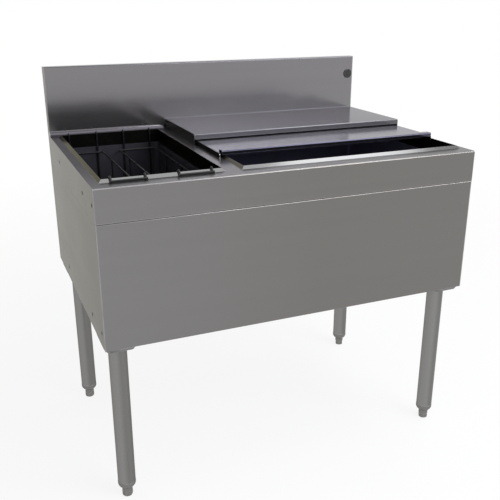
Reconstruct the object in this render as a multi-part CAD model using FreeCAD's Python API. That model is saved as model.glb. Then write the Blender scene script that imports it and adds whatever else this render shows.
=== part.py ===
"""Underbar unit in stainless steel: an insulated ice bin with two covers beside a drained bottle well.

Millimetres. X runs along the front from left to right, Y from the front to the wall, Z up.
The origin is on the floor, under the middle of the unit.
"""
import FreeCAD, Part
import math
import os

V = FreeCAD.Vector
OUT = "parts"
LENGTHWAYS = V(1, 0, 0)
BACKWARDS = V(0, 1, 0)
UP = V(0, 0, 1)
BEYOND = 5.0  # how far a cutting tool runs past the face that it opens

# ---- Overall size ----
WIDTH = 914.4
DEPTH = 609.6
DECK_Z = 762.0  # worktop above the floor
BODY_HEIGHT = 352.4  # from the worktop down to the underside of the body

# ---- Sheet metal ----
SHEET = 1.2  # worktop, backsplash, panels and covers
LINER_SHEET = 1.0
CHANNEL_SHEET = 1.5
BEND = 2.5  # outside radius of a folded edge
DECK_BEND = 3.0  # the worktop's front edge is softer
COVER_BEND = 2.0

# ---- Worktop and backsplash ----
APRON_DROP = 73.0
APRON_RETURN = 12.0
SPLASH_RISE = 177.8
SPLASH_DEPTH = 25.4
SPLASH_LIP = 19.0
COVE = 13.0
END_HOLE_R = 3.5
END_HOLES_BELOW_TOP = (13.4, 88.3)

# ---- Raised rims round the two openings ----
RIM_RISE = 6.5  # the bevel rises as far as it goes in
COLLAR_DROP = 28.0  # how far the collar hangs below the worktop
DECK_AT_FRONT = 39.9  # flat worktop in front of both rims
DECK_AT_REAR = 17.1  # flat worktop between the rims and the cove
DECK_AT_LEFT = 19.7
DECK_BETWEEN = 38.4
DECK_AT_RIGHT = 13.6
WELL_WIDTH = 269.3  # over the rim; the bin takes the rest of the width

# ---- Liners ----
LINER_SET_BACK = 0.4  # liner wall behind the collar's inner face
LINER_CORNER = 10.0
LINER_FLOOR_CORNER = 6.0
LINER_FLANGE = 12.0
LINER_FLOOR_ABOVE_BODY = 30.4

# ---- Body panels ----
PANEL_INSET = 0.5  # front panel behind the apron's face
SEAM = 0.8  # open joint between the apron and the front panel
SIDE_SEAM = 0.4
PANEL_RETURN = 15.0
BOTTOM_GAP = 2.0  # bottom panel clear of the bends around it
REAR_LEDGE = 44.8  # rear panel's top return, under the backsplash's foot
SIDE_HOLE_R = 4.8
SIDE_HOLES_FROM_FRONT = (21.2, 123.6, 438.2)
SIDE_HOLES_BELOW_DECK = 38.0
SIDE_HOLES_ABOVE_BODY = 35.0
POCKET_R = 9.0  # hollow in the foam behind each side hole
POCKET_DEPTH = 12.0
FOAM_GAP = 1.0

# ---- Channels ----
STIFFENER_WIDTH = 20.0
STIFFENER_DROP = 20.0
STIFFENER_END_GAP = 4.0
LEG_CHANNEL_WIDTH = 60.0
LEG_CHANNEL_HEIGHT = 24.0
LEG_CHANNEL_END_GAP = 14.0

# ---- Legs ----
LEG_R = 20.65
LEG_WALL = 1.65
LEG_FROM_SIDE = 35.7
LEG_FROM_FRONT = 52.8
LEG_FROM_WALL = 83.5
GUSSET_DROP = 8.6
GUSSET_HALF = (29.5, 44.3)  # flat bottom, across and front to back
GUSSET_FLARE = 6.0
GUSSET_SHEET = 2.0
GUSSET_CORNER = 8.0
COLLAR_TOP_Z = 42.0  # insert's collar, where the tube ends
COLLAR_PROUD = 0.3
SHOULDER_Z = 38.5
SHOULDER_FOOT_Z = 25.0
SHOULDER_FOOT_R = 13.6
SHOULDER_BULGE = (0.72, 0.33)  # middle of the shoulder's curve, as shares of its width and height
INSERT_PLUG = 58.0
FOOT_R = 12.2
FOOT_CLEAR = 0.3
FOOT_HEX_ACROSS = 21.6
FOOT_HEX_HEIGHT = 12.6
FOOT_HEAD_Z = 46.0
FOOT_TRAVEL_UP = 12.0
STUD_R = 8.0
STUD_CLEAR = 0.05
STUD_LENGTH = 48.0
STUD_CHAMFER = 1.2

# ---- Drains ----
DRAIN_FLANGE_R = 38.0
DRAIN_FLANGE_HEIGHT = 2.0
DRAIN_FLANGE_EDGE = 1.2
DRAIN_THREAD_R = 23.5  # threaded part through the tub's floor
DRAIN_TUBE_R = 21.0  # tailpiece below the body
DRAIN_BORE_R = 17.5
DRAIN_BELOW_BODY = 38.0
GASKET_R = 33.0
GASKET_HEIGHT = 3.0
LOCKNUT_ACROSS = 58.0
LOCKNUT_HEIGHT = 8.0
DRAIN_ACCESS_R = 42.0
STRAINER_R = 30.0
STRAINER_FLAT_R = 24.0
STRAINER_CROWN = 2.5
STRAINER_HOLE_R = 4.0
STRAINER_PITCH_R = 16.0
STRAINER_RING = 6

# ---- Bin covers ----
COVER_AROUND_RIM = 5.8  # front cover's flanges stand this far outside the bin's rim
COVERS_APART = 5.6  # rear cover over front cover, on each side
FRONT_COVER_RISE = 11.0
FRONT_COVER_LENGTH = 290.0  # behind the grip
FRONT_COVER_FLANGE_BACK = 13.0  # side flanges stop short of the rear edge
GRIP_REAR = 177.8  # grip's rear face behind the unit's face, where the photograph has it
GRIP_DEPTH = 20.0
GRIP_RISE = 7.0  # above the front cover's plate
GRIP_BEND = 3.0
GRIP_FOLD = 1.0  # inside radius where the sheet turns back
GRIP_LAP = 10.0  # plate that belongs to the grip's own fold
COVER_OVER_RIM = 0.7  # grip and rear edge of the front cover above the rims
GRIP_END_GAP = 4.6  # from the cover's side faces
SKIRT_CLEAR = 1.5  # skirt above the worktop, between the rims
SKIRT_OFF_RIM = 7.0
EAR_LENGTH = 16.0  # side flanges run on beside the grip
EAR_ROUND = 4.0
REAR_COVER_RISE = 27.0
REAR_COVER_FRONT = 323.6
REAR_COVER_BACK_GAP = 2.4
REAR_COVER_OVER_FRONT = 3.2
REAR_COVER_BACK_FLANGE = 11.0
COVE_CLEAR = 1.4

# ---- Bottle racks ----
FRAME_WIRE_R = 2.5
CROSS_WIRE_R = 2.0
RACK_CLEAR = 0.5  # frame wire off the collar
HOOK_OFF_BEVEL = 0.3
HOOK_BEND = 2.9
HOOK_FOOT = 1.5  # how far the hook runs on past the bevel's foot, measured along the worktop
RACK_FRAME_HALF = 36.0
RACK_RING_HALF = 48.5
RACK_LEFT_FROM_RIM = 60.5  # left rack's centre from the rim's left foot
RACK_RIGHT_FROM_RIM = 65.3  # right rack's centre from the rim's right foot
RACK_RING_BELOW_DECK = 43.0
RACK_FLOOR_BELOW_DECK = 255.0
RACK_UPRIGHT_PITCH = 132.0
RACK_BAR_OVERHANG = 3.0
RACK_WELD = 0.4  # crossing wires sink this far into each other
RACK_BEND = 12.0
RING_BEND = 7.0
UPRIGHT_BEND = 8.0
FLOOR_RUNNER = 12.0  # middle floor wires either side of the rack's centre

# ---- Plug in the backsplash ----
PLUG_HOLE_R = 12.7
PLUG_FROM_RIGHT = 16.9
PLUG_BELOW_TOP = 50.6
PLUG_CAP_R = 13.4
PLUG_CAP = 2.2
PLUG_CAP_EDGE = 1.3
PLUG_CAP_SLOPE = 0.9
PLUG_DISH_R = 10.4
PLUG_DISH = 0.9
PLUG_BARREL_CLEAR = 0.3
PLUG_BARREL = 9.0
PLUG_WALL = 1.2
PLUG_SPOKES = 6
PLUG_SPOKE = 1.0

# ---- Planes worked out from the sizes above ----
X_SIDE = WIDTH / 2
Y_FRONT = -DEPTH / 2
Y_WALL = DEPTH / 2
Y_SPLASH = Y_WALL - SPLASH_DEPTH
Y_COVE = Y_SPLASH - COVE
TOP_Z = DECK_Z + SPLASH_RISE
BODY_Z = DECK_Z - BODY_HEIGHT
APRON_Z = DECK_Z - APRON_DROP
UNDER_DECK_Z = DECK_Z - SHEET
COLLAR_Z = DECK_Z - COLLAR_DROP
RIM_Z = DECK_Z + RIM_RISE
FLOOR_Z = BODY_Z + LINER_FLOOR_ABOVE_BODY
X_INSIDE = X_SIDE - SHEET
Y_PANEL = Y_FRONT + PANEL_INSET
BOTTOM_Z = BODY_Z + SHEET  # underside of the bottom panel
GUSSET_Z = BODY_Z - GUSSET_DROP

Y_RIM_FRONT = Y_FRONT + DECK_AT_FRONT
Y_RIM_REAR = Y_COVE - DECK_AT_REAR
X_WELL_LEFT = -X_SIDE + DECK_AT_LEFT
X_WELL_RIGHT = X_WELL_LEFT + WELL_WIDTH
X_BIN_LEFT = X_WELL_RIGHT + DECK_BETWEEN
X_BIN_RIGHT = X_SIDE - DECK_AT_RIGHT
WELL_RIM = (X_WELL_LEFT, X_WELL_RIGHT, Y_RIM_FRONT, Y_RIM_REAR)
BIN_RIM = (X_BIN_LEFT, X_BIN_RIGHT, Y_RIM_FRONT, Y_RIM_REAR)

LEGS = {
    "front_left": (-X_SIDE + LEG_FROM_SIDE, Y_FRONT + LEG_FROM_FRONT),
    "front_right": (X_SIDE - LEG_FROM_SIDE, Y_FRONT + LEG_FROM_FRONT),
    "rear_left": (-X_SIDE + LEG_FROM_SIDE, Y_WALL - LEG_FROM_WALL),
    "rear_right": (X_SIDE - LEG_FROM_SIDE, Y_WALL - LEG_FROM_WALL),
}


# ---- Shape helpers ----
def block(x0, x1, y0, y1, z0, z1):
    return Part.makeBox(x1 - x0, y1 - y0, z1 - z0, V(x0, y0, z0))


def cylinder(radius, start, along, length):
    return Part.makeCylinder(radius, length, start, along)


def inset(rect, distance):
    """The rectangle (x0, x1, y0, y1) moved in by a distance on every side."""
    x0, x1, y0, y1 = rect
    return (x0 + distance, x1 - distance, y0 + distance, y1 - distance)


def middle(rect):
    return V((rect[0] + rect[1]) / 2, (rect[2] + rect[3]) / 2, 0)


def fillet_where(shape, radius, wanted):
    """Rounds the edges whose box meets a test."""
    edges = [edge for edge in shape.Edges if wanted(edge.BoundBox)]
    return shape.makeFillet(radius, edges)


def is_upright(box):
    return box.ZLength > 1 and box.XLength < 0.01 and box.YLength < 0.01


def rounded_block(rect, corner, floor_corner, z0, z1):
    """A block with round upright corners and a round edge at its floor."""
    shape = fillet_where(block(*rect, z0, z1), corner, is_upright)
    if floor_corner:
        shape = fillet_where(shape, floor_corner, lambda box: box.ZMax < z0 + 0.01)
    return shape


def rounded_path(points, radii):
    """Edges of an open path through the points, with an arc at each inner point."""
    edges = []
    start = points[0]
    for before, corner, after, radius in zip(points, points[1:], points[2:], radii):
        arriving = (corner - before).normalize()
        leaving = (after - corner).normalize()
        half_turn = arriving.getAngle(leaving) / 2
        inward = (leaving - arriving).normalize()
        trim = radius * math.tan(half_turn)
        centre = corner + inward * (radius / math.cos(half_turn))
        arc_start = corner - arriving * trim
        arc_end = corner + leaving * trim
        if (arc_start - start).Length > 0.001:
            edges.append(Part.LineSegment(start, arc_start).toShape())
        edges.append(Part.Arc(arc_start, centre - inward * radius, arc_end).toShape())
        start = arc_end
    edges.append(Part.LineSegment(start, points[-1]).toShape())
    return edges


def folded_sheet(outline, bends, sheet, place, along):
    """A sheet folded along straight lines, extruded from its section.

    outline holds (u, v) points of the face that shows, and the sheet lies on the left of that path.
    bends holds the radius of the face at each inner point. place turns (u, v) into a point in space.
    """
    flat = [V(u, v, 0) for u, v in outline]
    steps = [(b - a).normalize() for a, b in zip(flat, flat[1:])]
    lefts = [V(-step.y, step.x, 0) for step in steps]
    back = [flat[0] + lefts[0] * sheet]
    back_bends = []
    for corner, before, after, bend in zip(flat[1:], lefts, lefts[1:], bends):
        between = (before + after).normalize()
        back.append(corner + between * (sheet / between.dot(before)))
        turns_left = before.cross(after).z > 0
        back_bends.append(bend - sheet if turns_left else bend + sheet)
    back.append(flat[-1] + lefts[-1] * sheet)
    shown = rounded_path([place(p.x, p.y) for p in flat], bends)
    hidden = rounded_path([place(p.x, p.y) for p in back], back_bends)
    ends = [
        Part.LineSegment(place(flat[0].x, flat[0].y), place(back[0].x, back[0].y)).toShape(),
        Part.LineSegment(place(flat[-1].x, flat[-1].y), place(back[-1].x, back[-1].y)).toShape(),
    ]
    section = Part.Wire(Part.__sortEdges__(shown + hidden + ends))
    return Part.Face(section).extrude(along)


def mitred_frame(rect, section):
    """A closed frame round a rectangle, mitred at its four corners.

    section holds (distance in from the rectangle, height) points, in order round the profile.
    """
    loops = []
    for distance, height in section:
        x0, x1, y0, y1 = inset(rect, distance)
        loops.append([V(x0, y0, height), V(x1, y0, height), V(x1, y1, height), V(x0, y1, height)])
    faces = []
    for loop, following in zip(loops, loops[1:] + loops[:1]):
        for k in range(4):
            corners = [loop[k], loop[k - 1], following[k - 1], following[k]]
            faces.append(Part.Face(Part.makePolygon(corners + corners[:1])))
    return Part.Solid(Part.Shell(faces)).removeSplitter()


def revolved(profile, x=0.0, y=0.0, z=0.0):
    """A closed profile of (radius, height) points turned about a vertical axis."""
    points = [V(x + radius, y, z + height) for radius, height in profile]
    face = Part.Face(Part.makePolygon(points + points[:1]))
    return face.revolve(V(x, y, 0), UP, 360)


def hexagon(across, x, y, z0, height):
    corner_r = across / math.sqrt(3)
    corners = [
        V(x + corner_r * math.cos(k * math.pi / 3), y + corner_r * math.sin(k * math.pi / 3), z0)
        for k in range(7)
    ]
    return Part.Face(Part.makePolygon(corners)).extrude(UP * height)


def wire_rod(points, radii, wire_r):
    """Round wire bent along a path."""
    path = Part.Wire(rounded_path(points, radii))
    start = (points[1] - points[0]).normalize()
    section = Part.Wire(Part.makeCircle(wire_r, points[0], start))
    rod = path.makePipeShell([section], True, True)
    return rod


def fuse_all(shapes):
    return shapes[0].multiFuse(shapes[1:]).removeSplitter()


def lengthways(x0):
    """Places a section that is drawn across the unit, front to back."""
    return lambda u, v: V(x0, u, v)


def crossways(y0):
    """Places a section that is drawn along the unit, left to right."""
    return lambda u, v: V(u, y0, v)


def side_holes(height, x_from, x_to):
    """Drills for the holes of one side at one height."""
    drills = []
    for from_front in SIDE_HOLES_FROM_FRONT:
        start = V(min(x_from, x_to), Y_FRONT + from_front, height)
        drills.append(cylinder(SIDE_HOLE_R, start, LENGTHWAYS, abs(x_to - x_from)))
    return drills


# ---- Worktop ----
def deck_top():
    """Worktop with front and side aprons; its two openings take the rims."""
    def is_front_top(box):
        return box.XLength > WIDTH / 2 and box.YMax < Y_FRONT + 2 * SHEET and box.ZMin > APRON_Z + 1

    outside = block(-X_SIDE, X_SIDE, Y_FRONT, Y_WALL, APRON_Z, DECK_Z)
    outside = fillet_where(outside, DECK_BEND, is_front_top)
    inside = block(-X_INSIDE, X_INSIDE, Y_FRONT + SHEET, Y_WALL + BEYOND, APRON_Z - BEYOND, UNDER_DECK_Z)
    inside = fillet_where(inside, DECK_BEND - SHEET, is_front_top)
    deck = outside.cut(inside)
    behind_cove = block(-X_INSIDE, X_INSIDE, Y_COVE, Y_WALL + BEYOND, UNDER_DECK_Z - BEYOND, DECK_Z + BEYOND)
    deck = deck.cut(behind_cove)
    apron_return = block(
        -X_INSIDE, X_INSIDE, Y_FRONT + SHEET, Y_FRONT + APRON_RETURN, APRON_Z, APRON_Z + SHEET
    )
    deck = deck.fuse(apron_return)
    tools = [block(*rim, UNDER_DECK_Z - BEYOND, DECK_Z + BEYOND) for rim in (WELL_RIM, BIN_RIM)]
    for side in (-1, 1):
        height = DECK_Z - SIDE_HOLES_BELOW_DECK
        tools += side_holes(height, side * (X_INSIDE - BEYOND), side * (X_SIDE + BEYOND))
    return deck.cut(tools).removeSplitter()


def rim(rect):
    """Bevel that rises from the worktop and turns down inside as a collar."""
    slant = SHEET * math.sqrt(2)
    section = [
        (0, DECK_Z),
        (RIM_RISE, RIM_Z),
        (RIM_RISE, COLLAR_Z),
        (RIM_RISE - SHEET, COLLAR_Z),
        (RIM_RISE - SHEET, RIM_Z - SHEET - slant),
        (slant - SHEET, UNDER_DECK_Z),
        (0, UNDER_DECK_Z),
    ]
    return mitred_frame(rect, section)


def backsplash():
    """Cove, face, top return and rear lip in one sheet, open at the back."""
    outline = [
        (Y_WALL, TOP_Z - SPLASH_LIP),
        (Y_WALL, TOP_Z),
        (Y_SPLASH, TOP_Z),
        (Y_SPLASH, DECK_Z),
        (Y_COVE - SHEET, DECK_Z),
    ]
    along = LENGTHWAYS * (2 * X_INSIDE)
    sheet = folded_sheet(outline, [BEND, BEND, COVE], SHEET, lengthways(-X_INSIDE), along)
    ahead_of_cove = block(-X_SIDE, X_SIDE, Y_COVE - BEYOND, Y_COVE, UNDER_DECK_Z - 1, DECK_Z + 1)
    drill = cylinder(PLUG_HOLE_R, plug_centre() - BACKWARDS * BEYOND, BACKWARDS, 2 * BEYOND)
    return sheet.cut([ahead_of_cove, drill])


def backsplash_end(side):
    """Plate that closes one end of the backsplash and follows its cove."""
    x0 = X_INSIDE if side > 0 else -X_SIDE
    arc_middle = COVE * (1 - math.sqrt(0.5))
    edges = [
        Part.Arc(
            V(x0, Y_COVE, DECK_Z),
            V(x0, Y_SPLASH - arc_middle, DECK_Z + arc_middle),
            V(x0, Y_SPLASH, DECK_Z + COVE),
        ).toShape()
    ]
    corners = [
        V(x0, Y_SPLASH, DECK_Z + COVE),
        V(x0, Y_SPLASH, TOP_Z),
        V(x0, Y_WALL, TOP_Z),
        V(x0, Y_WALL, DECK_Z),
        V(x0, Y_COVE, DECK_Z),
    ]
    edges += [Part.LineSegment(a, b).toShape() for a, b in zip(corners, corners[1:])]
    plate = Part.Face(Part.Wire(edges)).extrude(LENGTHWAYS * SHEET)
    drills = []
    for below_top in END_HOLES_BELOW_TOP:
        start = V(x0 - BEYOND, (Y_SPLASH + Y_WALL) / 2, TOP_Z - below_top)
        drills.append(cylinder(END_HOLE_R, start, LENGTHWAYS, SHEET + 2 * BEYOND))
    return plate.cut(drills)


def plug_centre():
    return V(X_SIDE - PLUG_FROM_RIGHT, Y_SPLASH, TOP_Z - PLUG_BELOW_TOP)


def hose_hole_plug():
    """Dished cap with spokes on a hollow barrel, pushed into the hose hole."""
    profile = [
        (0, 0),
        (PLUG_CAP_R, 0),
        (PLUG_CAP_R, PLUG_CAP_EDGE),
        (PLUG_CAP_R - PLUG_CAP_SLOPE, PLUG_CAP),
        (0, PLUG_CAP),
    ]
    cap = revolved(profile)
    dish = cylinder(PLUG_DISH_R, V(0, 0, PLUG_CAP - PLUG_DISH), UP, BEYOND)
    spokes = []
    for k in range(PLUG_SPOKES // 2):
        half = PLUG_SPOKE / 2
        bar = block(-PLUG_DISH_R, PLUG_DISH_R, -half, half, PLUG_CAP - PLUG_DISH, PLUG_CAP)
        bar.rotate(V(0, 0, 0), UP, k * 360 / PLUG_SPOKES)
        spokes.append(bar)
    barrel_r = PLUG_HOLE_R - PLUG_BARREL_CLEAR
    barrel = cylinder(barrel_r, V(0, 0, -PLUG_BARREL), UP, PLUG_BARREL)
    barrel = barrel.cut(cylinder(barrel_r - PLUG_WALL, V(0, 0, -PLUG_BARREL - 1), UP, PLUG_BARREL + 1))
    plug = fuse_all([cap.cut(dish.cut(spokes)), barrel])
    plug.rotate(V(0, 0, 0), LENGTHWAYS, 90)
    plug.translate(plug_centre())
    return plug


# ---- Body panels ----
def front_panel():
    """Panel with a return at its top and bottom edges."""
    top_z = APRON_Z - SEAM
    outline = [
        (Y_PANEL + PANEL_RETURN, top_z),
        (Y_PANEL, top_z),
        (Y_PANEL, BODY_Z),
        (Y_PANEL + PANEL_RETURN, BODY_Z),
    ]
    return folded_sheet(outline, [BEND, BEND], SHEET, lengthways(-X_INSIDE), LENGTHWAYS * (2 * X_INSIDE))


def side_panel(side):
    """Flat side with a return at its foot and the holes that join units side by side."""
    outline = [(-X_SIDE, APRON_Z - SIDE_SEAM), (-X_SIDE, BODY_Z), (-X_SIDE + PANEL_RETURN, BODY_Z)]
    panel = folded_sheet(outline, [BEND], SHEET, crossways(Y_PANEL), BACKWARDS * (Y_WALL - Y_PANEL))
    tools = side_holes(BODY_Z + SIDE_HOLES_ABOVE_BODY, -X_SIDE - BEYOND, -X_INSIDE + BEYOND)
    for y0, y1 in ((Y_PANEL, Y_PANEL + PANEL_RETURN), (Y_WALL - PANEL_RETURN, Y_WALL)):
        tools.append(block(-X_INSIDE, 0, y0 - 1, y1 + 1, BODY_Z - BEYOND, APRON_Z))
    panel = panel.cut(tools)
    if side > 0:
        panel = panel.mirror(V(0, 0, 0), LENGTHWAYS)
    return panel


def rear_panel():
    """Back sheet; its deep top return carries the worktop's rear edge and the backsplash's foot."""
    outline = [
        (Y_WALL - PANEL_RETURN, BODY_Z),
        (Y_WALL, BODY_Z),
        (Y_WALL, UNDER_DECK_Z),
        (Y_WALL - REAR_LEDGE, UNDER_DECK_Z),
    ]
    return folded_sheet(outline, [BEND, BEND], SHEET, lengthways(-X_INSIDE), LENGTHWAYS * (2 * X_INSIDE))


def bottom_panel():
    """Flat sheet on the returns of the four sides, open under each drain."""
    x_edge = X_INSIDE - BOTTOM_GAP
    panel = block(
        -x_edge, x_edge, Y_PANEL + SHEET + BOTTOM_GAP, Y_WALL - SHEET - BOTTOM_GAP, BOTTOM_Z, BOTTOM_Z + SHEET
    )
    return panel.cut([drain_access(rect) for rect in (WELL_RIM, BIN_RIM)])


def drain_access(rect):
    """Round way up to a drain through the bottom panel and the foam."""
    start = middle(rect) + UP * (BODY_Z - BEYOND)
    return cylinder(DRAIN_ACCESS_R, start, UP, FLOOR_Z - LINER_SHEET - BODY_Z + BEYOND)


# ---- Liners and insulation ----
def liner_rect(rect):
    return inset(rect, RIM_RISE - LINER_SET_BACK)


def liner(rect):
    """Seamless tub with round corners and a flange that the collar stands on."""
    inner_rect = liner_rect(rect)
    inner = rounded_block(inner_rect, LINER_CORNER, LINER_FLOOR_CORNER, FLOOR_Z, COLLAR_Z + BEYOND)
    outer = liner_envelope(rect)
    flange = block(*inset(inner_rect, -LINER_SHEET - LINER_FLANGE), COLLAR_Z - LINER_SHEET, COLLAR_Z)
    hole = cylinder(DRAIN_THREAD_R, middle(rect) + UP * (FLOOR_Z - BEYOND), UP, 2 * BEYOND)
    return outer.fuse(flange).cut([inner, hole]).removeSplitter()


def liner_envelope(rect):
    """The tub's outside as a solid block."""
    return rounded_block(
        inset(liner_rect(rect), -LINER_SHEET),
        LINER_CORNER + LINER_SHEET,
        LINER_FLOOR_CORNER + LINER_SHEET,
        FLOOR_Z - LINER_SHEET,
        COLLAR_Z,
    )


def foam_insulation():
    """Foam that fills the body round both tubs."""
    x_edge = X_INSIDE - FOAM_GAP
    y0 = Y_PANEL + PANEL_RETURN + FOAM_GAP
    y1 = Y_WALL - SHEET - FOAM_GAP
    foam = block(-x_edge, x_edge, y0, y1, BOTTOM_Z + SHEET, COLLAR_Z - LINER_SHEET)
    tools = []
    for rect in (WELL_RIM, BIN_RIM):
        tools += [liner_envelope(rect), drain_access(rect)]
    for x in (-X_SIDE + LEG_FROM_SIDE, X_SIDE - LEG_FROM_SIDE):
        half = LEG_CHANNEL_WIDTH / 2
        tools.append(
            block(x - half, x + half, y0 - 1, y1 + 1, BOTTOM_Z, BOTTOM_Z + SHEET + LEG_CHANNEL_HEIGHT)
        )
    for side in (-1, 1):
        for height in (DECK_Z - SIDE_HOLES_BELOW_DECK, BODY_Z + SIDE_HOLES_ABOVE_BODY):
            for from_front in SIDE_HOLES_FROM_FRONT:
                start = V(side * X_INSIDE, Y_FRONT + from_front, height)
                tools.append(cylinder(POCKET_R, start, LENGTHWAYS * -side, POCKET_DEPTH))
    return foam.cut(tools)


# ---- Channels ----
def deck_stiffener():
    """Channel under the strip of worktop between the two openings."""
    x = (X_WELL_RIGHT + X_BIN_LEFT) / 2
    half = STIFFENER_WIDTH / 2
    y0 = Y_FRONT + APRON_RETURN + STIFFENER_END_GAP
    y1 = Y_WALL - REAR_LEDGE - STIFFENER_END_GAP
    low_z = UNDER_DECK_Z - STIFFENER_DROP
    outline = [(x - half, UNDER_DECK_Z), (x - half, low_z), (x + half, low_z), (x + half, UNDER_DECK_Z)]
    return folded_sheet(outline, [BEND, BEND], CHANNEL_SHEET, crossways(y0), BACKWARDS * (y1 - y0))


def leg_channel(side):
    """Channel on the bottom panel that ties a front leg to a rear one."""
    x = side * (X_SIDE - LEG_FROM_SIDE)
    half = LEG_CHANNEL_WIDTH / 2
    y0 = Y_PANEL + LEG_CHANNEL_END_GAP
    y1 = Y_WALL - LEG_CHANNEL_END_GAP
    low_z = BOTTOM_Z + SHEET
    high_z = low_z + LEG_CHANNEL_HEIGHT
    outline = [(x + half, low_z), (x + half, high_z), (x - half, high_z), (x - half, low_z)]
    return folded_sheet(outline, [BEND, BEND], CHANNEL_SHEET, crossways(y0), BACKWARDS * (y1 - y0))


# ---- Legs ----
def rounded_outline(x, y, half_x, half_y, corner, z):
    """A rectangle with round corners at one height, as a wire."""
    points = []
    for sx, sy in ((0, -1), (1, -1), (1, 1), (-1, 1), (-1, -1), (0, -1)):
        points.append(V(x + sx * half_x, y + sy * half_y, z))
    return Part.Wire(rounded_path(points, [corner] * 4))


def flared_block(x, y, half, corner, flare, z0, z1):
    """A solid whose four sides flare outwards as they rise."""
    low = rounded_outline(x, y, half[0], half[1], corner, z0)
    high = rounded_outline(x, y, half[0] + flare, half[1] + flare, corner + flare, z1)
    return Part.makeLoft([low, high], True, True)


def leg_gusset(x, y):
    """Pressed dish under the body that the leg is welded to."""
    outer = flared_block(x, y, GUSSET_HALF, GUSSET_CORNER, GUSSET_FLARE, GUSSET_Z, BODY_Z)
    slope = GUSSET_FLARE / GUSSET_DROP
    wall = GUSSET_SHEET * math.hypot(1, slope)
    narrower = GUSSET_SHEET * slope - wall
    half = (GUSSET_HALF[0] + narrower, GUSSET_HALF[1] + narrower)
    rise = GUSSET_DROP - GUSSET_SHEET + 1
    inner = flared_block(
        x, y, half, GUSSET_CORNER + narrower, slope * rise, GUSSET_Z + GUSSET_SHEET, BODY_Z + 1
    )
    return outer.cut(inner)


def leg_tube(x, y):
    tube = cylinder(LEG_R, V(x, y, COLLAR_TOP_Z), UP, GUSSET_Z - COLLAR_TOP_Z)
    return tube.cut(cylinder(LEG_R - LEG_WALL, V(x, y, COLLAR_TOP_Z - 1), UP, GUSSET_Z - COLLAR_TOP_Z + 2))


def leg_insert(x, y):
    """Bullet-shaped end of a leg: plug in the tube, collar, round shoulder, bored for the foot."""
    bore_r = FOOT_R + FOOT_CLEAR
    bore_top_z = FOOT_HEAD_Z + FOOT_TRAVEL_UP + FOOT_CLEAR
    stud_bore_r = STUD_R + STUD_CLEAR
    collar_r = LEG_R + COLLAR_PROUD
    top_z = COLLAR_TOP_Z + INSERT_PLUG
    drop = SHOULDER_Z - SHOULDER_FOOT_Z
    narrowing = collar_r - SHOULDER_FOOT_R
    corners = [
        V(x + SHOULDER_FOOT_R, y, SHOULDER_FOOT_Z),
        V(x + bore_r, y, SHOULDER_FOOT_Z),
        V(x + bore_r, y, bore_top_z),
        V(x + stud_bore_r, y, bore_top_z),
        V(x + stud_bore_r, y, top_z),
        V(x + LEG_R - LEG_WALL, y, top_z),
        V(x + LEG_R - LEG_WALL, y, COLLAR_TOP_Z),
        V(x + collar_r, y, COLLAR_TOP_Z),
        V(x + collar_r, y, SHOULDER_Z),
    ]
    edges = [Part.LineSegment(a, b).toShape() for a, b in zip(corners, corners[1:])]
    bulge_r = SHOULDER_FOOT_R + narrowing * SHOULDER_BULGE[0]
    bulge = V(x + bulge_r, y, SHOULDER_FOOT_Z + drop * SHOULDER_BULGE[1])
    edges.append(Part.Arc(corners[-1], bulge, corners[0]).toShape())
    return Part.Face(Part.Wire(edges)).revolve(V(x, y, 0), UP, 360)


def foot(x, y):
    """Screw foot: hexagon on the floor, plain head that slides in the insert, stud above."""
    head = cylinder(FOOT_R, V(x, y, FOOT_HEX_HEIGHT), UP, FOOT_HEAD_Z - FOOT_HEX_HEIGHT)
    stud = cylinder(STUD_R, V(x, y, FOOT_HEAD_Z), UP, STUD_LENGTH)
    stud = chamfer_top(stud, STUD_CHAMFER)
    base = hexagon(FOOT_HEX_ACROSS, x, y, 0, FOOT_HEX_HEIGHT)
    corner_r = FOOT_HEX_ACROSS / math.sqrt(3)
    trim = corner_r - FOOT_HEX_ACROSS / 2
    outline = [
        (0, 0),
        (corner_r - trim, 0),
        (corner_r, trim),
        (corner_r, FOOT_HEX_HEIGHT),
        (0, FOOT_HEX_HEIGHT),
    ]
    turned = revolved(outline, x, y)
    return fuse_all([base.common(turned), head, stud])


def chamfer_top(shape, size):
    """Chamfers the top edge of an upright round bar."""
    top = shape.BoundBox.ZMax
    return shape.makeChamfer(size, [edge for edge in shape.Edges if edge.BoundBox.ZMin > top - 0.01])


# ---- Drains ----
def drain_body(rect):
    """Flange on the tub's floor with a tailpiece that ends below the body."""
    at = middle(rect)
    low_z = BODY_Z - DRAIN_BELOW_BODY
    top_z = FLOOR_Z + DRAIN_FLANGE_HEIGHT
    profile = [
        (DRAIN_BORE_R, low_z),
        (DRAIN_TUBE_R, low_z),
        (DRAIN_TUBE_R, BODY_Z),
        (DRAIN_THREAD_R, BODY_Z),
        (DRAIN_THREAD_R, FLOOR_Z),
        (DRAIN_FLANGE_R, FLOOR_Z),
        (DRAIN_FLANGE_R, top_z - DRAIN_FLANGE_EDGE),
        (DRAIN_FLANGE_R - 2 * DRAIN_FLANGE_EDGE, top_z),
        (DRAIN_BORE_R, top_z),
    ]
    return revolved(profile, at.x, at.y)


def drain_gasket(rect):
    at = middle(rect)
    z = FLOOR_Z - LINER_SHEET - GASKET_HEIGHT
    ring = cylinder(GASKET_R, V(at.x, at.y, z), UP, GASKET_HEIGHT)
    return ring.cut(cylinder(DRAIN_THREAD_R, V(at.x, at.y, z - 1), UP, GASKET_HEIGHT + 2))


def drain_locknut(rect):
    at = middle(rect)
    z = FLOOR_Z - LINER_SHEET - GASKET_HEIGHT - LOCKNUT_HEIGHT
    nut = hexagon(LOCKNUT_ACROSS, at.x, at.y, z, LOCKNUT_HEIGHT)
    return nut.cut(cylinder(DRAIN_THREAD_R, V(at.x, at.y, z - 1), UP, LOCKNUT_HEIGHT + 2))


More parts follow.
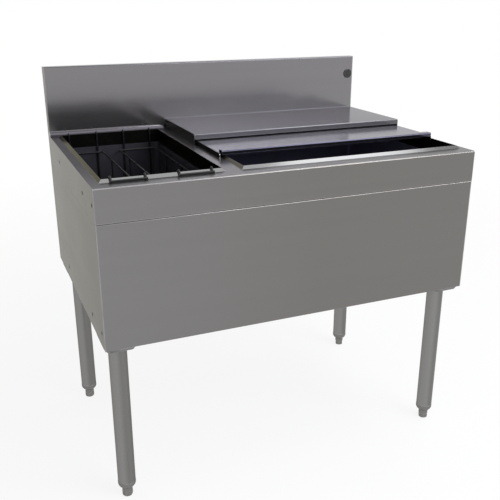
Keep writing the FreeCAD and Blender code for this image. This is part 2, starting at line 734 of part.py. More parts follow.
def drain_strainer(rect):
    """Low domed plate with round holes, on the drain's flange."""
    at = middle(rect)
    z = FLOOR_Z + DRAIN_FLANGE_HEIGHT
    profile = [
        (0, STRAINER_CROWN),
        (STRAINER_FLAT_R, 0),
        (STRAINER_R, 0),
        (STRAINER_R, SHEET),
        (STRAINER_FLAT_R, SHEET),
        (0, STRAINER_CROWN + SHEET),
    ]
    plate = revolved(profile, at.x, at.y, z)
    centres = [at]
    for k in range(STRAINER_RING):
        turn = 2 * math.pi * k / STRAINER_RING
        centres.append(at + V(math.cos(turn), math.sin(turn), 0) * STRAINER_PITCH_R)
    drills = [cylinder(STRAINER_HOLE_R, centre + UP * (z - 1), UP, 3 * BEYOND) for centre in centres]
    return plate.cut(drills)


# ---- Bin covers ----
def folded_pan(x0, x1, y0, y1, low_z, high_z):
    """An upturned pan: a plate with round edges and a flange on each side."""
    def is_pan_edge(box):
        return box.ZMin > high_z - SHEET - 0.01 and box.ZLength < 0.01

    outside = fillet_where(block(x0, x1, y0, y1, low_z, high_z), COVER_BEND, is_pan_edge)
    inside = block(x0 + SHEET, x1 - SHEET, y0 + SHEET, y1 - SHEET, low_z - BEYOND, high_z - SHEET)
    inside = fillet_where(inside, COVER_BEND - SHEET, is_pan_edge)
    return outside.cut(inside)


def front_cover_sides():
    return X_BIN_LEFT - COVER_AROUND_RIM, X_BIN_RIGHT + COVER_AROUND_RIM


def cover_grip(x0, x1):
    """The front cover's folded front edge: a raised box section over the rims, and a skirt between them."""
    y_rear = Y_FRONT + GRIP_REAR
    y_front = y_rear - GRIP_DEPTH
    y_skirt = y_rear - SHEET
    plate_z = DECK_Z + FRONT_COVER_RISE
    low_z = RIM_Z + COVER_OVER_RIM
    outline = [
        (y_rear + GRIP_LAP, plate_z),
        (y_rear, plate_z),
        (y_rear, plate_z + GRIP_RISE),
        (y_front, plate_z + GRIP_RISE),
        (y_front, low_z),
        (y_skirt, low_z),
        (y_skirt, DECK_Z + SKIRT_CLEAR),
    ]
    bends = [GRIP_FOLD, GRIP_BEND, GRIP_BEND, GRIP_BEND, GRIP_FOLD]
    grip = folded_sheet(outline, bends, SHEET, lengthways(x0), LENGTHWAYS * (x1 - x0))
    skirt_x0 = X_BIN_LEFT + RIM_RISE + SKIRT_OFF_RIM
    skirt_x1 = X_BIN_RIGHT - RIM_RISE - SKIRT_OFF_RIM
    over_rims = [
        block(x0 - 1, skirt_x0, y_front - 1, y_rear + 1, DECK_Z, low_z),
        block(skirt_x1, x1 + 1, y_front - 1, y_rear + 1, DECK_Z, low_z),
    ]
    return grip.cut(over_rims)


def front_cover():
    """Sliding cover: stands on the worktop outside the rim, its side flanges run on beside the grip."""
    x0, x1 = front_cover_sides()
    y_grip_rear = Y_FRONT + GRIP_REAR
    y0 = y_grip_rear - EAR_LENGTH
    y1 = y_grip_rear + FRONT_COVER_LENGTH
    high_z = DECK_Z + FRONT_COVER_RISE
    grip_x0 = x0 + GRIP_END_GAP
    grip_x1 = x1 - GRIP_END_GAP
    pan = folded_pan(x0, x1, y0 - BEYOND, y1, DECK_Z, high_z)
    ear_corner = block(x0 - 1, x1 + 1, y0 - 1, y0 + EAR_ROUND, high_z - EAR_ROUND, high_z + 1)
    ear_axis = V(x0 - 2, y0 + EAR_ROUND, high_z - EAR_ROUND)
    tools = [
        block(x0 - 1, x1 + 1, y0 - BEYOND - 1, y0, DECK_Z - 1, high_z + 1),
        ear_corner.cut(cylinder(EAR_ROUND, ear_axis, LENGTHWAYS, x1 - x0 + 4)),
        block(x0 + COVER_BEND, x1 - COVER_BEND, y0 - 1, y_grip_rear, DECK_Z - 1, high_z + 1),
        block(grip_x0, grip_x1, y0 - 1, y_grip_rear + GRIP_LAP, DECK_Z - 1, high_z + 1),
        block(x0 - 1, x1 + 1, y1 - FRONT_COVER_FLANGE_BACK, y1 + 1, DECK_Z - 1, RIM_Z + COVER_OVER_RIM),
    ]
    return pan.cut(tools).fuse(cover_grip(grip_x0, grip_x1)).removeSplitter()


def rear_cover():
    """Lift-off cover: stands on the worktop, spans the front one and meets the backsplash."""
    x0, x1 = front_cover_sides()
    x0 -= COVERS_APART
    x1 += COVERS_APART
    y0 = Y_FRONT + REAR_COVER_FRONT
    y1 = Y_SPLASH - REAR_COVER_BACK_GAP
    high_z = DECK_Z + REAR_COVER_RISE
    front_flange_z = DECK_Z + FRONT_COVER_RISE + REAR_COVER_OVER_FRONT
    cover = folded_pan(x0, x1, y0, y1, DECK_Z, high_z)
    tools = [
        block(x0 + SHEET, x1 - SHEET, y0 - 1, y0 + 2 * SHEET, DECK_Z - 1, front_flange_z),
        block(x0 + SHEET, x1 - SHEET, y1 - 2 * SHEET, y1 + 1, DECK_Z - 1, high_z - REAR_COVER_BACK_FLANGE),
        block(x0 - 1, x1 + 1, Y_COVE - COVE_CLEAR, y1 + 1, DECK_Z - 1, DECK_Z + COVE + COVE_CLEAR),
    ]
    return cover.cut(tools).removeSplitter()


# ---- Bottle racks ----
def hook_points(x, y_face, outward):
    """Centre line of a hook over the rim: up the collar, over the top, down the bevel to the worktop.

    y_face is the collar's inner face and outward is -1 at the front and 1 at the rear.
    """
    off = (FRAME_WIRE_R + HOOK_OFF_BEVEL) * math.sqrt(2)
    wall = -RACK_CLEAR - FRAME_WIRE_R
    crown_z = RIM_Z + off - wall
    foot_z = DECK_Z + FRAME_WIRE_R + HOOK_OFF_BEVEL
    at_foot = RIM_Z + off - foot_z

    def at(distance, z):
        return V(x, y_face + outward * distance, z)

    return at(wall, crown_z), at(at_foot, foot_z), at(at_foot + HOOK_FOOT, foot_z)


def frame_wire(x, floor_z):
    """One long wire with a hook at each end, down both ends of the well and along the rack's floor."""
    y_front = Y_RIM_FRONT + RIM_RISE
    y_rear = Y_RIM_REAR - RIM_RISE
    front = hook_points(x, y_front, -1)
    rear = hook_points(x, y_rear, 1)
    points = [
        front[2],
        front[1],
        front[0],
        V(x, front[0].y, floor_z),
        V(x, rear[0].y, floor_z),
        rear[0],
        rear[1],
        rear[2],
    ]
    return wire_rod(points, [HOOK_BEND, HOOK_BEND, RACK_BEND, RACK_BEND, HOOK_BEND, HOOK_BEND], FRAME_WIRE_R)


def ring(x, half_x, y0, y1, z):
    """A closed rectangle of cross wire with round corners."""
    middle_y = (y0 + y1) / 2
    outline = rounded_outline(x, middle_y, half_x, (y1 - y0) / 2, RING_BEND, z)
    start = outline.Edges[0].Vertexes[0].Point
    section = Part.Wire(Part.makeCircle(CROSS_WIRE_R, start, LENGTHWAYS))
    return outline.makePipeShell([section], True, True)


def bottle_rack(x):
    """Coated wire rack that hangs on the front and rear rims of the well.

    No two wires of one size cross on their axes: each ends on its neighbour or lies beside it.
    """
    floor_z = DECK_Z - RACK_FLOOR_BELOW_DECK
    ring_z = DECK_Z - RACK_RING_BELOW_DECK
    y_front = Y_RIM_FRONT + RIM_RISE + RACK_CLEAR + FRAME_WIRE_R
    y_rear = Y_RIM_REAR - RIM_RISE - RACK_CLEAR - FRAME_WIRE_R
    inside = FRAME_WIRE_R + CROSS_WIRE_R - RACK_WELD
    centre_y = (y_front + y_rear) / 2
    wires = [frame_wire(x - RACK_FRAME_HALF, floor_z), frame_wire(x + RACK_FRAME_HALF, floor_z)]
    wires.append(ring(x, RACK_RING_HALF, y_front + inside, y_rear - inside, ring_z))
    bar_half = RACK_FRAME_HALF + RACK_BAR_OVERHANG
    for face, outward in ((Y_RIM_FRONT + RIM_RISE, -1), (Y_RIM_REAR - RIM_RISE, 1)):
        hook_end = hook_points(x - bar_half, face, outward)[2]
        start = hook_end + BACKWARDS * outward * (FRAME_WIRE_R - RACK_WELD)
        wires.append(cylinder(FRAME_WIRE_R, start, LENGTHWAYS, 2 * bar_half))
    cross_z = floor_z - FRAME_WIRE_R - CROSS_WIRE_R + RACK_WELD
    upright_z = ring_z - CROSS_WIRE_R + RACK_WELD
    for k in (-1, 0, 1):
        y = centre_y + k * RACK_UPRIGHT_PITCH
        points = [
            V(x - RACK_RING_HALF, y, upright_z),
            V(x - RACK_RING_HALF, y, cross_z),
            V(x + RACK_RING_HALF, y, cross_z),
            V(x + RACK_RING_HALF, y, upright_z),
        ]
        wires.append(wire_rod(points, [UPRIGHT_BEND, UPRIGHT_BEND], CROSS_WIRE_R))
    runner_z = cross_z + 2 * CROSS_WIRE_R - RACK_WELD
    reach = RACK_UPRIGHT_PITCH + RACK_BEND
    for offset in (-FLOOR_RUNNER, FLOOR_RUNNER):
        wires.append(cylinder(CROSS_WIRE_R, V(x + offset, centre_y - reach, runner_z), BACKWARDS, 2 * reach))
    return fuse_all(wires)


# ---- Assembly ----
def group(shapes):
    return Part.Compound(shapes)


def sub_parts():
    parts = {
        "deck_top": deck_top(),
        "well_rim": rim(WELL_RIM),
        "bin_rim": rim(BIN_RIM),
        "backsplash": backsplash(),
        "backsplash_end_left": backsplash_end(-1),
        "backsplash_end_right": backsplash_end(1),
        "hose_hole_plug": hose_hole_plug(),
        "front_panel": front_panel(),
        "side_panel_left": side_panel(-1),
        "side_panel_right": side_panel(1),
        "rear_panel": rear_panel(),
        "bottom_panel": bottom_panel(),
        "well_liner": liner(WELL_RIM),
        "bin_liner": liner(BIN_RIM),
        "foam_insulation": foam_insulation(),
        "deck_stiffener": deck_stiffener(),
        "leg_channel_left": leg_channel(-1),
        "leg_channel_right": leg_channel(1),
        "well_drain": drain_body(WELL_RIM),
        "bin_drain": drain_body(BIN_RIM),
        "drain_gaskets": group([drain_gasket(rect) for rect in (WELL_RIM, BIN_RIM)]),
        "drain_locknuts": group([drain_locknut(rect) for rect in (WELL_RIM, BIN_RIM)]),
        "drain_strainers": group([drain_strainer(rect) for rect in (WELL_RIM, BIN_RIM)]),
        "leg_inserts": group([leg_insert(x, y) for x, y in LEGS.values()]),
        "front_cover": front_cover(),
        "rear_cover": rear_cover(),
    }
    parts["bottle_rack_left"] = bottle_rack(X_WELL_LEFT + RACK_LEFT_FROM_RIM)
    parts["bottle_rack_right"] = bottle_rack(X_WELL_RIGHT - RACK_RIGHT_FROM_RIM)
    for place, (x, y) in LEGS.items():
        parts["gusset_" + place] = leg_gusset(x, y)
        parts["leg_" + place] = leg_tube(x, y)
        parts["foot_" + place] = foot(x, y)
    return parts


os.makedirs(OUT, exist_ok=True)
for name, shape in sub_parts().items():
    print(name, len(shape.Solids), round(shape.Volume), "valid" if shape.isValid() else "NOT VALID")
    shape.exportStep(OUT + "/" + name + ".step")
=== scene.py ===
import math

import bpy
from mathutils import Matrix, Vector

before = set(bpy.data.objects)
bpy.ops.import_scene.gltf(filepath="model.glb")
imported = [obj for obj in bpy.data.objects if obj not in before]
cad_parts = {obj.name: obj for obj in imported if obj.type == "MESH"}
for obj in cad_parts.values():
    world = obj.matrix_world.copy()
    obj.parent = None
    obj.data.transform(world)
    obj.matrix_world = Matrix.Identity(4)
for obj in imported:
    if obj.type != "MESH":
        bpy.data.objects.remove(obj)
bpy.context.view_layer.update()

# ---- Camera, where the photograph's perspective puts it ----
CAMERA_PLACE = (-0.6820, -1.6160, 1.1105)
CAMERA_AZIMUTH = -22.88  # degrees
CAMERA_ELEVATION = 20.02
CAMERA_LENS = 50.15  # millimetres
CAMERA_SENSOR = 36.0

# ---- Floor and light ----
WHITE = (1.0, 1.0, 1.0, 1.0)
FLOOR_HALF = 40.0
FLOOR_COLOUR = (0.90, 0.90, 0.90, 1.0)
FLOOR_OWN_SHARE = 0.14  # share of its own shading, shadow and all, in what the floor shows near the unit
FLOOR_FADE = (1.0, 3.0)  # metres from the origin between which that share falls to nothing
FILL_STRENGTH = 0.45
LAMP_COLOUR = (0.96, 0.97, 1.0)
LAMPS_AIM = (0.1, 0.0, 0.75)
LAMP_POWER = 4.0  # power of a square metre of area lamp with a radiance of 1
SOFTBOXES = (  # name, place, width and height, radiance
    ("overhead_softbox", (0.5, -1.0, 3.0), (2.4, 2.2), 1.0),
    ("zenith_softbox", (1.6, 0.1, 3.3), (2.4, 0.9), 3.0),
    ("front_softbox", (1.80, -2.7, 2.21), (2.4, 1.2), 6.1),
)

# ---- Steel: base colours ----
# One steel would have one colour. Here each piece's colour is fitted to its tone in the photograph, under
# the lamps above, and so the colours differ: the differences are painted light and shade, standing in for
# how brightly each piece is lit and what it reflects.
DECK_STEEL = (0.214, 0.208, 0.211)  # also the front panel and the gussets
SIDE_STEEL = (0.194, 0.191, 0.187)  # also the turned pieces
TUBE_STEEL = (0.242, 0.239, 0.235)  # also the backsplash's end returns
# Painted shade: the rear cover is darker for the dim reflections it shows; painted reflection: the front
# cover is lighter and bluish.
REAR_COVER_STEEL = (0.118, 0.116, 0.125)
FRONT_COVER_STEEL = (0.285, 0.281, 0.312)
RIM_STEEL = (0.155, 0.154, 0.153)
SPLASH_STEEL = (0.220, 0.213, 0.222)
# Painted shade: the well's inside is dark and the ice bin's bluish, for the shade and dim reflections in
# them.
WELL_STEEL = (0.11, 0.11, 0.135)
BIN_STEEL = (0.27, 0.27, 0.35)
METALLIC = 0.88
WELL_METALLIC = 0.7
BIN_METALLIC = 0.45

# ---- Steel: surface ----
# Roughness as its low and high end.
SATIN = (0.22, 0.26)
TURNED_SATIN = (0.22, 0.30)
TUBE_SATIN = (0.26, 0.32)
SMOOTH = (0.14, 0.18)
RIM_SMOOTH = (0.12, 0.17)
# Noise cells per metre, along and across the brushing.
GRAIN_ALONG = 2.5
GRAIN_ACROSS = 900.0
STREAK_ALONG = 0.9
STREAK_ACROSS = 60.0
STREAK_CONTRAST = 0.012
# Folds and edges are lightened, partly as worn bright and partly as a painted highlight.
WEAR_AND_HIGHLIGHT_WIDTH = 0.0025
WEAR_AND_HIGHLIGHT_GAIN = 2.1  # edges worn bright and painted highlights along folds, against the flats
RIM_WEAR_AND_HIGHLIGHT_GAIN = 1.1
WEAR_AND_HIGHLIGHT_ALIKE = (0.99, 0.85)  # product of the plain and the softened normal where the worn and highlit edge begins and is full

# ---- Steel: tints, most of them painted light and shade ----
# They too are fitted to the photograph. A pair of numbers says where a tint begins and where it is full:
# for a direction as its part along an axis, from -1 to 1, and for a place in metres.
EDGE_TINT = (0.72, 0.72, 0.74)  # of reflections at a grazing angle
# Painted shade: grazing reflections on faces that look left or right are darker and olive.
SIDE_EDGE_SHADE = (0.52, 0.51, 0.46)  # the same on faces that look left or right
SIDEWAYS = (0.5, 0.65)
# Painted shade on the rims: darker upright collars and olive side bevels.
COLLAR_SHADE = (0.20, 0.20, 0.18)
COLLAR_TILT = (0.6, 0.2)
SIDE_BEVEL_SHADE = (0.82, 0.81, 0.75)
# Painted shade on the backsplash's coved foot, dimming its highlight.
COVE_SHADE = (0.35, 0.34, 0.37)
COVE_OFF_UPRIGHT = (0.08, 0.3)
COVE_OFF_LEVEL = (0.99, 0.9)
# Painted shade on the sliding cover's grip face and side flanges.
GRIP_SHADE = (0.22, 0.22, 0.28)
GRIP_FORWARD = (0.1, 0.5)
GRIP_HEIGHT = (0.7708, 0.7716)  # from the top of the grip's lower fold
FLANGE_SHADE = (0.30, 0.30, 0.26)
# Painted highlight along the rear cover's rear fold.
REAR_FOLD_HIGHLIGHT = (4.6, 4.6, 4.7)
REAR_FOLD_STRIP = (0.005, 0.003)  # in front of the cover's rear edge
# Painted shade, darker and warmer towards the unit's middle.
WARM_SHADE = (0.86, 0.85, 0.80)
WARM_ALONG = (-0.45, 0.05)
# Painted shade on the right of the leg tubes.
TUBE_SHADE = (0.74, 0.74, 0.73)
TUBE_TURN = (-0.4, 0.05)

# ---- Other finishes ----
ZINC = (0.23, 0.235, 0.24)
ZINC_ROUGHNESS = (0.42, 0.56)
WIRE_COATING = (0.009, 0.009, 0.010)
WIRE_ROUGHNESS = (0.24, 0.36)
WIRE_SPECULAR = 0.25
BLACK_PLASTIC = (0.014, 0.014, 0.015)
PLASTIC_ROUGHNESS = (0.38, 0.50)
GASKET_RUBBER = (0.02, 0.02, 0.02)
RUBBER_ROUGHNESS = (0.6, 0.75)
FOAM = (0.62, 0.54, 0.36)
FOAM_ROUGHNESS = 0.9
NOISE_LOW = 0.3  # a noise keeps mostly between these two values
NOISE_HIGH = 0.7


# ---- Node helpers ----
def new_material(name):
    """A material with nothing but a Principled shader, its node tree and that shader."""
    made = bpy.data.materials.new(name)
    made.use_nodes = True
    return made, made.node_tree, made.node_tree.nodes["Principled BSDF"]


def add(tree, kind, inputs=None, **settings):
    """A node with its settings and inputs; an input is a value, or a socket to link from."""
    made = tree.nodes.new(kind)
    for name, value in settings.items():
        setattr(made, name, value)
    for name, value in (inputs or {}).items():
        if isinstance(value, bpy.types.NodeSocket):
            tree.links.new(value, made.inputs[name])
        else:
            made.inputs[name].default_value = value
    return made


def connect(tree, shader, **sockets):
    """Links a shader's inputs; an underscore stands for a space in an input's name."""
    for name, value in sockets.items():
        tree.links.new(value, shader.inputs[name.replace("_", " ")])


def object_place(tree, scale=(1, 1, 1)):
    """The point's place in the part's frame, with the unit at rest, stretched by scale."""
    place = add(tree, "ShaderNodeTexCoord").outputs["Object"]
    return add(tree, "ShaderNodeMapping", {"Vector": place, "Scale": scale}).outputs["Vector"]


def place_along(tree, axis):
    """The point's place on one axis of the part's frame, with the unit at rest."""
    return add(tree, "ShaderNodeSeparateXYZ", {"Vector": object_place(tree)}).outputs[axis]


def facing(tree, axis):
    """How far the face looks along an axis, from -1 to 1."""
    normal = add(tree, "ShaderNodeNewGeometry").outputs["Normal"]
    return add(tree, "ShaderNodeSeparateXYZ", {"Vector": normal}).outputs[axis]


def noise(tree, vector, scale=1.0, detail=2.0, roughness=0.5):
    values = {"Vector": vector, "Scale": scale, "Detail": detail, "Roughness": roughness}
    return add(tree, "ShaderNodeTexNoise", values).outputs["Fac"]


def spread(tree, value, low, high, from_low=NOISE_LOW, from_high=NOISE_HIGH):
    """The value, from its own range, spread over the range of low to high and held inside it."""
    values = {"Value": value, "From Min": from_low, "From Max": from_high, "To Min": low, "To Max": high}
    return add(tree, "ShaderNodeMapRange", values).outputs["Result"]


def rise(tree, value, begin, full):
    """A share that is 0 up to begin and 1 from full on; full may be the smaller number."""
    return spread(tree, value, 0.0, 1.0, begin, full)


def math_node(tree, operation, a, b=0.0):
    return add(tree, "ShaderNodeMath", {0: a, 1: b}, operation=operation).outputs["Value"]


def sideways(tree):
    """1 on the faces that look left or right, 0 on the others, and a blend where a bend joins them."""
    return rise(tree, math_node(tree, "ABSOLUTE", facing(tree, "X")), *SIDEWAYS)


def shade(tree, value, colour, contrast):
    """A colour that a noise value makes lighter and darker by a share."""
    ramp = add(tree, "ShaderNodeValToRGB", {"Fac": value})
    ends = zip(ramp.color_ramp.elements, (1 - contrast, 1 + contrast), (NOISE_LOW, NOISE_HIGH))
    for element, share, position in ends:
        element.position = position
        element.color = (*[channel * share for channel in colour], 1)
    return ramp.outputs["Color"]


def between(tree, share, low, high, blend="MIX"):
    """A colour that goes from low to high with share; either is a colour or a socket."""
    mix = add(tree, "ShaderNodeMix", {0: share}, data_type="RGBA", blend_type=blend)
    for place, colour in ((6, low), (7, high)):  # the node's two colour inputs
        if isinstance(colour, bpy.types.NodeSocket):
            tree.links.new(colour, mix.inputs[place])
        else:
            mix.inputs[place].default_value = (*colour, 1)
    return mix.outputs[2]


def bump(tree, height, distance, strength):
    inputs = {"Height": height, "Distance": distance, "Strength": strength}
    return add(tree, "ShaderNodeBump", inputs).outputs["Normal"]


# ---- Steel ----
def worn_and_highlit_edges(tree):
    """Up to 1 along folds and edges, less where a noise breaks it up, and 0 on the flats: a mask for
    edges worn bright and for a painted highlight along folds.
    """
    plain = add(tree, "ShaderNodeNewGeometry").outputs["Normal"]
    softened = add(tree, "ShaderNodeBevel", {"Radius": WEAR_AND_HIGHLIGHT_WIDTH}, samples=4).outputs["Normal"]
    product = add(tree, "ShaderNodeVectorMath", {0: plain, 1: softened}, operation="DOT_PRODUCT")
    patchy = spread(tree, noise(tree, object_place(tree), scale=45, detail=3), 0.5, 1.0)
    return math_node(tree, "MULTIPLY", rise(tree, product.outputs["Value"], *WEAR_AND_HIGHLIGHT_ALIKE), patchy)


def brushed_steel(name, grain, colour, roughness=SATIN, metallic=METALLIC, wear_and_highlight=WEAR_AND_HIGHLIGHT_GAIN):
    """Stainless steel with brush marks along one axis, faint streaks, uneven gloss, edges lightened
    partly as worn and partly as a painted highlight, and painted shade on the grazing reflections of
    faces that look left or right.
    """
    made, tree, shader = new_material(name)
    fine = [GRAIN_ACROSS] * 3
    broad = [STREAK_ACROSS] * 3
    fine["XYZ".index(grain)] = GRAIN_ALONG
    broad["XYZ".index(grain)] = STREAK_ALONG
    marks = noise(tree, object_place(tree, fine), detail=3, roughness=0.65)
    streaks = noise(tree, object_place(tree, broad))
    clouds = noise(tree, object_place(tree), scale=7, detail=3)
    half_streaks = math_node(tree, "MULTIPLY", streaks, 0.5)
    half_clouds = math_node(tree, "MULTIPLY", clouds, 0.5)
    uneven = math_node(tree, "ADD", half_streaks, half_clouds)
    sheet = shade(tree, streaks, colour, STREAK_CONTRAST)
    worn_and_highlit = [min(1.0, channel * wear_and_highlight) for channel in colour]
    connect(
        tree,
        shader,
        Base_Color=between(tree, worn_and_highlit_edges(tree), sheet, worn_and_highlit),
        Roughness=spread(tree, uneven, *roughness),
        # Painted shade: the grazing reflections of faces that look left or right are darker and olive.
        Specular_Tint=between(tree, sideways(tree), EDGE_TINT, SIDE_EDGE_SHADE),
        Normal=bump(tree, marks, distance=0.00002, strength=0.07),
    )
    shader.inputs["Metallic"].default_value = metallic
    return made


def tint_where(made, share, tint, socket="Base Color"):
    """Multiplies one of a steel's colours by a tint as far as share goes from 0 to 1."""
    tree = made.node_tree
    tinted = tree.nodes["Principled BSDF"].inputs[socket]
    tree.links.new(between(tree, share, tinted.links[0].from_socket, tint, "MULTIPLY"), tinted)


def tint_both(made, share, tint):
    """Tints the base colour and the reflections at a grazing angle alike."""
    tint_where(made, share, tint)
    tint_where(made, share, tint, "Specular Tint")


def shade_rim(made):
    """Painted shade: the rims' upright collars are darker than their bevels, and the bevels at the sides
    are olive.
    """
    tree = made.node_tree
    upright = rise(tree, math_node(tree, "ABSOLUTE", facing(tree, "Z")), *COLLAR_TILT)
    tint_where(made, upright, COLLAR_SHADE)
    tint_both(made, sideways(tree), SIDE_BEVEL_SHADE)


def shade_front_cover(made):
    """Painted shade: the sliding cover's grip is dark above its lower fold, and so are its side flanges.
    """
    tree = made.node_tree
    forward = rise(tree, math_node(tree, "MULTIPLY", facing(tree, "Y"), -1.0), *GRIP_FORWARD)
    above_fold = rise(tree, place_along(tree, "Z"), *GRIP_HEIGHT)
    tint_where(made, math_node(tree, "MULTIPLY", forward, above_fold), GRIP_SHADE)
    tint_both(made, sideways(tree), FLANGE_SHADE)


def paint_rear_fold_highlight(made):
    """Painted highlight: a bright line along the rear cover's rear fold."""
    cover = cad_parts["rear_cover"]
    rear_edge = max((cover.matrix_world @ Vector(corner)).y for corner in cover.bound_box)
    begin, full = [rear_edge - distance for distance in REAR_FOLD_STRIP]
    tree = made.node_tree
    tint_where(made, rise(tree, place_along(tree, "Y"), begin, full), REAR_FOLD_HIGHLIGHT)


def shade_tube(made):
    """Painted shade: the leg tubes are darker on the right than on the left."""
    tree = made.node_tree
    tint_where(made, rise(tree, facing(tree, "X"), *TUBE_TURN), TUBE_SHADE)


def shade_warmer_along(made):
    """Painted shade: the tone turns darker and warmer from the unit's left end to its middle."""
    tree = made.node_tree
    tint_where(made, rise(tree, place_along(tree, "X"), *WARM_ALONG), WARM_SHADE)


def shade_cove(made):
    """Painted shade: the backsplash's coved foot is darker than the flat above it, dimming the highlight
    along the curve.
    """
    tree = made.node_tree
    off_upright = rise(tree, facing(tree, "Z"), *COVE_OFF_UPRIGHT)
    off_level = rise(tree, facing(tree, "Z"), *COVE_OFF_LEVEL)
    tint_where(made, math_node(tree, "MULTIPLY", off_upright, off_level), COVE_SHADE)


# ---- Other finishes ----
def galvanised_steel(name):
    """Zinc-coated sheet with soft spangle."""
    made, tree, shader = new_material(name)
    cells = add(tree, "ShaderNodeTexVoronoi", {"Vector": object_place(tree), "Scale": 150.0})
    spangle = add(tree, "ShaderNodeSeparateColor", {"Color": cells.outputs["Color"]}).outputs["Red"]
    clouds = noise(tree, object_place(tree), scale=12, detail=3)
    connect(
        tree,
        shader,
        Base_Color=shade(tree, spangle, ZINC, contrast=0.05),
        Roughness=spread(tree, clouds, *ZINC_ROUGHNESS),
        Normal=bump(tree, spangle, distance=0.00003, strength=0.2),
    )
    shader.inputs["Metallic"].default_value = 1.0
    return made


def coated_wire(name):
    """Glossy dark dip coating, slightly uneven."""
    made, tree, shader = new_material(name)
    drips = noise(tree, object_place(tree), scale=140)
    clouds = noise(tree, object_place(tree), scale=25)
    connect(
        tree,
        shader,
        Base_Color=shade(tree, clouds, WIRE_COATING, contrast=0.25),
        Roughness=spread(tree, clouds, *WIRE_ROUGHNESS),
        Normal=bump(tree, drips, distance=0.0002, strength=0.25),
    )
    shader.inputs["Specular IOR Level"].default_value = WIRE_SPECULAR
    return made


def moulded(name, colour, roughness):
    """Moulded plastic or rubber with a fine texture."""
    made, tree, shader = new_material(name)
    texture = noise(tree, object_place(tree), scale=900)
    clouds = noise(tree, object_place(tree), scale=60)
    connect(
        tree,
        shader,
        Base_Color=shade(tree, clouds, colour, contrast=0.15),
        Roughness=spread(tree, clouds, *roughness),
        Normal=bump(tree, texture, distance=0.00006, strength=0.4),
    )
    return made


def rigid_foam(name):
    """Pale closed-cell foam."""
    made, tree, shader = new_material(name)
    cells = add(tree, "ShaderNodeTexVoronoi", {"Vector": object_place(tree), "Scale": 450.0})
    clouds = noise(tree, object_place(tree), scale=9, detail=3)
    connect(
        tree,
        shader,
        Base_Color=shade(tree, clouds, FOAM, contrast=0.08),
        Normal=bump(tree, cells.outputs["Distance"], distance=0.0006, strength=0.6),
    )
    shader.inputs["Roughness"].default_value = FOAM_ROUGHNESS
    return made


def dress():
    """Gives every CAD node its finish."""
    plain = brushed_steel("steel_grain_x", "X", DECK_STEEL)
    shade_warmer_along(plain)
    side = brushed_steel("steel_grain_y", "Y", SIDE_STEEL)
    splash_end = brushed_steel("steel_grain_z", "Z", TUBE_STEEL, TUBE_SATIN)
    rear_cover = brushed_steel("steel_rear_cover", "X", REAR_COVER_STEEL, SMOOTH)
    paint_rear_fold_highlight(rear_cover)
    front_cover = brushed_steel("steel_front_cover", "X", FRONT_COVER_STEEL, SMOOTH)
    shade_front_cover(front_cover)
    rim = brushed_steel("steel_rim", "X", RIM_STEEL, RIM_SMOOTH, wear_and_highlight=RIM_WEAR_AND_HIGHLIGHT_GAIN)
    shade_rim(rim)
    splash = brushed_steel("steel_splash", "X", SPLASH_STEEL, SMOOTH)
    shade_cove(splash)
    well = brushed_steel("steel_tub", "Z", WELL_STEEL, metallic=WELL_METALLIC)
    ice_bin = brushed_steel("steel_deep_tub", "Z", BIN_STEEL, metallic=BIN_METALLIC)
    tube = brushed_steel("steel_tube", "Z", TUBE_STEEL, TUBE_SATIN)
    shade_tube(tube)
    turned = brushed_steel("steel_turned", "X", SIDE_STEEL, TURNED_SATIN)
    galvanised = galvanised_steel("galvanised")
    wire = coated_wire("coated_wire")
    plastic = moulded("black_plastic", BLACK_PLASTIC, PLASTIC_ROUGHNESS)
    rubber = moulded("gasket_rubber", GASKET_RUBBER, RUBBER_ROUGHNESS)
    foam = rigid_foam("rigid_foam")
    # By the start of a node's name; the first that fits counts, and a node that none fits is plain.
    finishes = {
        "side_panel": side,
        "backsplash_end": splash_end,
        "backsplash": splash,
        "rear_panel": galvanised,
        "bottom_panel": galvanised,
        "deck_stiffener": galvanised,
        "leg_channel": galvanised,
        "well_liner": well,
        "bin_liner": ice_bin,
        "foam": foam,
        "drain_gaskets": rubber,
        "well_drain": turned,
        "bin_drain": turned,
        "drain_": turned,
        "leg_inserts": turned,
        "leg_": tube,
        "front_cover": front_cover,
        "rear_cover": rear_cover,
        "well_rim": rim,
        "bin_rim": rim,
        "foot_": turned,
        "bottle_rack": wire,
        "hose_hole_plug": plastic,
    }
    for node_name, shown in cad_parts.items():
        fitting = [finish for start, finish in finishes.items() if node_name.startswith(start)]
        shown.data.materials.clear()
        shown.data.materials.append(fitting[0] if fitting else plain)


# ---- Surroundings ----
def background_rays(tree):
    """1 for the rays that show the background: those of the camera, of reflections and through glass."""
    path = add(tree, "ShaderNodeLightPath").outputs
    seen = math_node(tree, "MAXIMUM", path["Is Camera Ray"], path["Is Glossy Ray"])
    return math_node(tree, "MAXIMUM", seen, path["Is Transmission Ray"])


def make_world():
    """White for the rays that show the background, and a weaker even fill for the others."""
    world = bpy.data.worlds.new("studio")
    bpy.context.scene.world = world
    world.use_nodes = True
    world.cycles.sampling_method = "NONE"
    tree = world.node_tree
    tree.nodes.clear()
    fill = add(tree, "ShaderNodeBackground", {"Color": WHITE, "Strength": FILL_STRENGTH})
    white = add(tree, "ShaderNodeBackground", {"Color": WHITE, "Strength": 1.0})
    inputs = {0: background_rays(tree), 1: fill.outputs[0], 2: white.outputs[0]}
    shown = add(tree, "ShaderNodeMixShader", inputs)
    add(tree, "ShaderNodeOutputWorld", {"Surface": shown.outputs[0]})


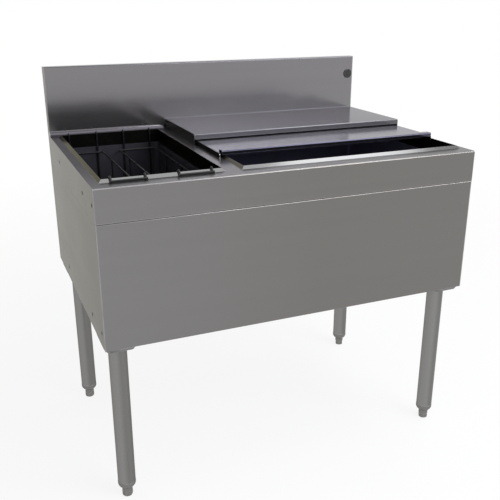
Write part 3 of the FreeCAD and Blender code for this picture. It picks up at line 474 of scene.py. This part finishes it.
def make_floor():
    """A pale floor that shows its own shading near the unit and plain white further out."""
    signs = ((-1, -1), (1, -1), (1, 1), (-1, 1))
    corners = [(x * FLOOR_HALF, y * FLOOR_HALF, 0) for x, y in signs]
    mesh = bpy.data.meshes.new("floor")
    mesh.from_pydata(corners, [], [(0, 1, 2, 3)])
    floor = bpy.data.objects.new("floor", mesh)
    bpy.context.scene.collection.objects.link(floor)
    made = bpy.data.materials.new("pale_floor")
    made.use_nodes = True
    tree = made.node_tree
    tree.nodes.clear()
    own = add(tree, "ShaderNodeBsdfDiffuse", {"Color": FLOOR_COLOUR})
    white = add(tree, "ShaderNodeEmission", {"Color": WHITE, "Strength": 1.0})
    place = add(tree, "ShaderNodeTexCoord").outputs["Object"]
    distance = add(tree, "ShaderNodeVectorMath", {0: place}, operation="LENGTH").outputs["Value"]
    plain = spread(tree, distance, 1 - FLOOR_OWN_SHARE, 1, *FLOOR_FADE)
    share = math_node(tree, "MULTIPLY", background_rays(tree), plain)
    surface = add(tree, "ShaderNodeMixShader", {0: share, 1: own.outputs[0], 2: white.outputs[0]})
    add(tree, "ShaderNodeOutputMaterial", {"Surface": surface.outputs[0]})
    made.cycles.emission_sampling = "NONE"
    mesh.materials.append(made)


def softbox(name, place, size, radiance):
    """A rectangular area lamp of the given brightness, turned towards the worktop."""
    width, height = size
    lamp = bpy.data.lights.new(name, "AREA")
    lamp.shape = "RECTANGLE"
    lamp.size = width
    lamp.size_y = height
    lamp.energy = LAMP_POWER * radiance * width * height
    lamp.color = LAMP_COLOUR
    hung = bpy.data.objects.new(name, lamp)
    hung.location = place
    hung.rotation_euler = (Vector(LAMPS_AIM) - Vector(place)).to_track_quat("-Z", "Y").to_euler()
    bpy.context.scene.collection.objects.link(hung)


def make_camera():
    """The camera looks along its azimuth, measured from the front, and down by its elevation."""
    azimuth = math.radians(CAMERA_AZIMUTH)
    elevation = math.radians(CAMERA_ELEVATION)
    back = Vector((
        math.sin(azimuth) * math.cos(elevation),
        -math.cos(azimuth) * math.cos(elevation),
        math.sin(elevation),
    ))
    right = Vector((math.cos(azimuth), math.sin(azimuth), 0))
    turn = Matrix((right, back.cross(right), back)).transposed()
    data = bpy.data.cameras.new("camera")
    data.lens = CAMERA_LENS
    data.sensor_width = CAMERA_SENSOR
    camera = bpy.data.objects.new("camera", data)
    camera.matrix_world = Matrix.Translation(CAMERA_PLACE) @ turn.to_4x4()
    bpy.context.scene.collection.objects.link(camera)
    bpy.context.scene.camera = camera


dress()
make_world()
make_floor()
for name, place, size, radiance in SOFTBOXES:
    softbox(name, place, size, radiance)
make_camera()
bpy.context.scene.view_settings.view_transform = "Standard"
